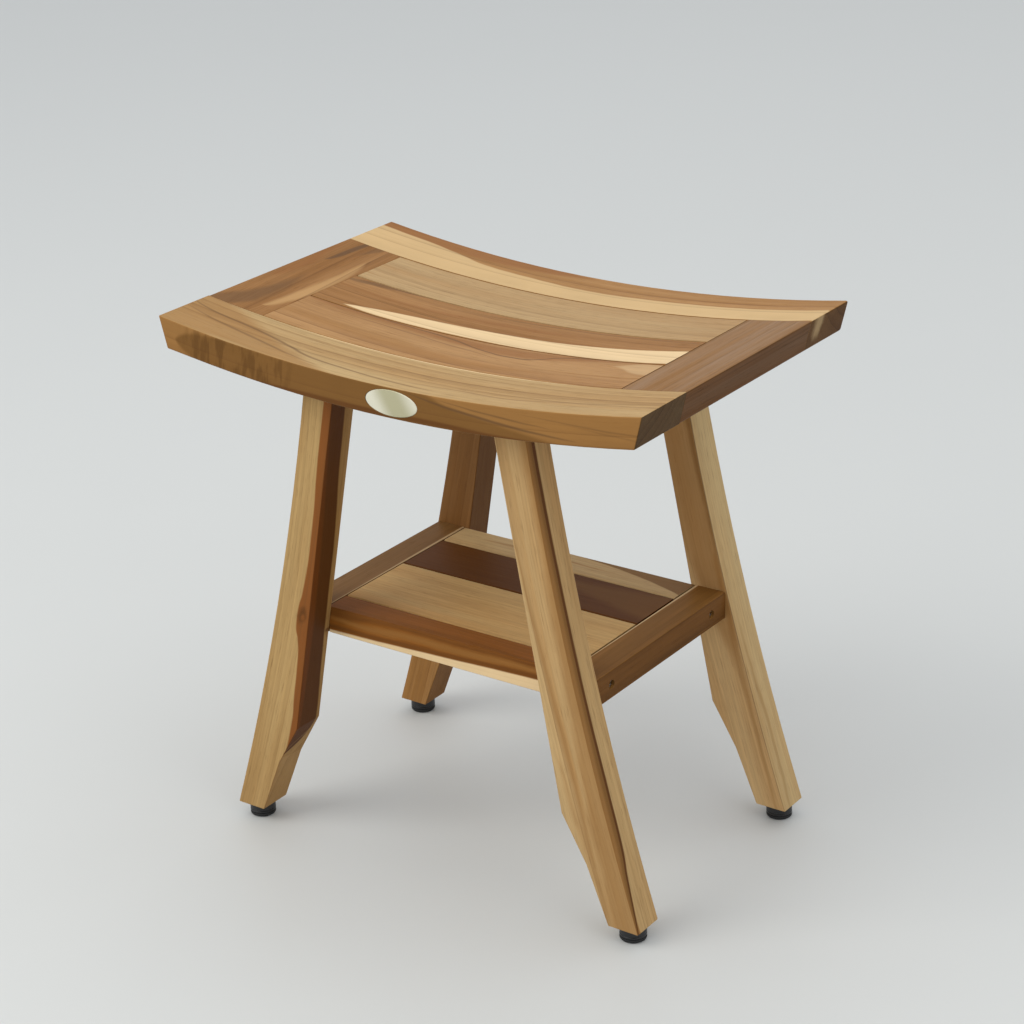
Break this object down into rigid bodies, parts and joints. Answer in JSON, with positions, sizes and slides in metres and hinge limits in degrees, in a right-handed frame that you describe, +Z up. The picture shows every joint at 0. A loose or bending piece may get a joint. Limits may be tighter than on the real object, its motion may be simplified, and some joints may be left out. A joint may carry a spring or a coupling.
{
  "type": "shower stool",
  "caption": "Slatted teak shower stool with a dished seat, sabre legs that sweep outward, a low slatted shelf and adjustable round feet.",
  "frame": {"origin": "on the floor, under the centre of the stool", "axes": "+Z up; +X along the width of the seat, to the right of someone who faces the front; -Y toward the front, the side with the badge"},
  "size_m": [0.457, 0.305, 0.457],
  "materials": {
    "teak_tan": "smooth oiled teak, light golden tan",
    "teak_brown": "smooth oiled teak heartwood, mid brown",
    "teak_dark": "smooth oiled teak heartwood, dark brown",
    "teak_pale": "smooth oiled teak sapwood, pale straw",
    "stainless_steel": "satin stainless steel",
    "insert_brass": "plain brass",
    "foot_nylon": "black moulded nylon",
    "foot_rubber": "black rubber",
    "badge_enamel": "blank cream enamel, satin"
  },
  "bodies": {
    "stool": {"seat_front_rail": "teak_brown", "seat_back_rail": "teak_pale", "seat_left_end_rail": "teak_brown", "seat_right_end_rail": "teak_dark", "seat_slat_front": "teak_brown", "seat_slat_middle": "teak_brown", "seat_slat_back": "teak_tan", "badge": "badge_enamel", "seat_bearer_left": "teak_brown", "seat_bearer_right": "teak_brown", "shelf_left_end_rail": "teak_brown", "shelf_right_end_rail": "teak_dark", "shelf_front_rail": "teak_brown", "shelf_front_board": "teak_tan", "shelf_back_board": "teak_dark", "shelf_back_rail": "teak_pale", "slat_screw_front_left": "stainless_steel", "slat_screw_middle_left": "stainless_steel", "slat_screw_back_left": "stainless_steel", "slat_screw_front_right": "stainless_steel", "slat_screw_middle_right": "stainless_steel", "slat_screw_back_right": "stainless_steel", "leg_front_left": "teak_tan", "leg_back_left": "teak_brown", "leg_front_right": "teak_tan", "leg_back_right": "teak_tan", "leg_dowel_front_left": "teak_pale", "leg_dowel_back_left": "teak_pale", "leg_dowel_front_right": "teak_pale", "leg_dowel_back_right": "teak_pale", "shelf_bolt_front_left": "stainless_steel", "shelf_bolt_back_left": "stainless_steel", "shelf_bolt_front_right": "stainless_steel", "shelf_bolt_back_right": "stainless_steel", "barrel_nut_front_left": "stainless_steel", "barrel_nut_back_left": "stainless_steel", "barrel_nut_front_right": "stainless_steel", "barrel_nut_back_right": "stainless_steel", "bolt_plug_front_left": "teak_tan", "bolt_plug_back_left": "teak_tan", "bolt_plug_front_right": "teak_tan", "bolt_plug_back_right": "teak_tan", "foot_insert_front_left": "insert_brass", "foot_insert_back_left": "insert_brass", "foot_insert_front_right": "insert_brass", "foot_insert_back_right": "insert_brass"},
    "foot_front_left": {"foot_pad_front_left": "foot_rubber", "foot_base_front_left": "foot_nylon"},
    "stud_front_left": {"foot_stud_front_left": "stainless_steel"},
    "foot_back_left": {"foot_pad_back_left": "foot_rubber", "foot_base_back_left": "foot_nylon"},
    "stud_back_left": {"foot_stud_back_left": "stainless_steel"},
    "foot_front_right": {"foot_pad_front_right": "foot_rubber", "foot_base_front_right": "foot_nylon"},
    "stud_front_right": {"foot_stud_front_right": "stainless_steel"},
    "foot_back_right": {"foot_pad_back_right": "foot_rubber", "foot_base_back_right": "foot_nylon"},
    "stud_back_right": {"foot_stud_back_right": "stainless_steel"}
  },
  "joints": [
    {"name": "foot_height_front_left", "type": "slide", "parent": "stool", "child": "foot_front_left", "axis": [0, 0, -1], "range_m": [0, 0.01]},
    {"name": "stud_turn_front_left", "type": "hinge", "parent": "foot_front_left", "child": "stud_front_left", "pos_m": [-0.1905, -0.1155, 0.02], "axis": [0, 0, -1], "range_deg": [0, 2879]},
    {"name": "foot_height_back_left", "type": "slide", "parent": "stool", "child": "foot_back_left", "axis": [0, 0, -1], "range_m": [0, 0.01]},
    {"name": "stud_turn_back_left", "type": "hinge", "parent": "foot_back_left", "child": "stud_back_left", "pos_m": [-0.1905, 0.1155, 0.02], "axis": [0, 0, -1], "range_deg": [0, 2879]},
    {"name": "foot_height_front_right", "type": "slide", "parent": "stool", "child": "foot_front_right", "axis": [0, 0, -1], "range_m": [0, 0.01]},
    {"name": "stud_turn_front_right", "type": "hinge", "parent": "foot_front_right", "child": "stud_front_right", "pos_m": [0.1905, -0.1155, 0.02], "axis": [0, 0, -1], "range_deg": [0, 2879]},
    {"name": "foot_height_back_right", "type": "slide", "parent": "stool", "child": "foot_back_right", "axis": [0, 0, -1], "range_m": [0, 0.01]},
    {"name": "stud_turn_back_right", "type": "hinge", "parent": "foot_back_right", "child": "stud_back_right", "pos_m": [0.1905, 0.1155, 0.02], "axis": [0, 0, -1], "range_deg": [0, 2879]}
  ],
  "couplings": [
    {"joint": "foot_height_front_left", "follows": "stud_turn_front_left", "m_per_rad": 0.00019894},
    {"joint": "foot_height_back_left", "follows": "stud_turn_back_left", "m_per_rad": 0.00019894},
    {"joint": "foot_height_front_right", "follows": "stud_turn_front_right", "m_per_rad": 0.00019894},
    {"joint": "foot_height_back_right", "follows": "stud_turn_back_right", "m_per_rad": 0.00019894}
  ]
}
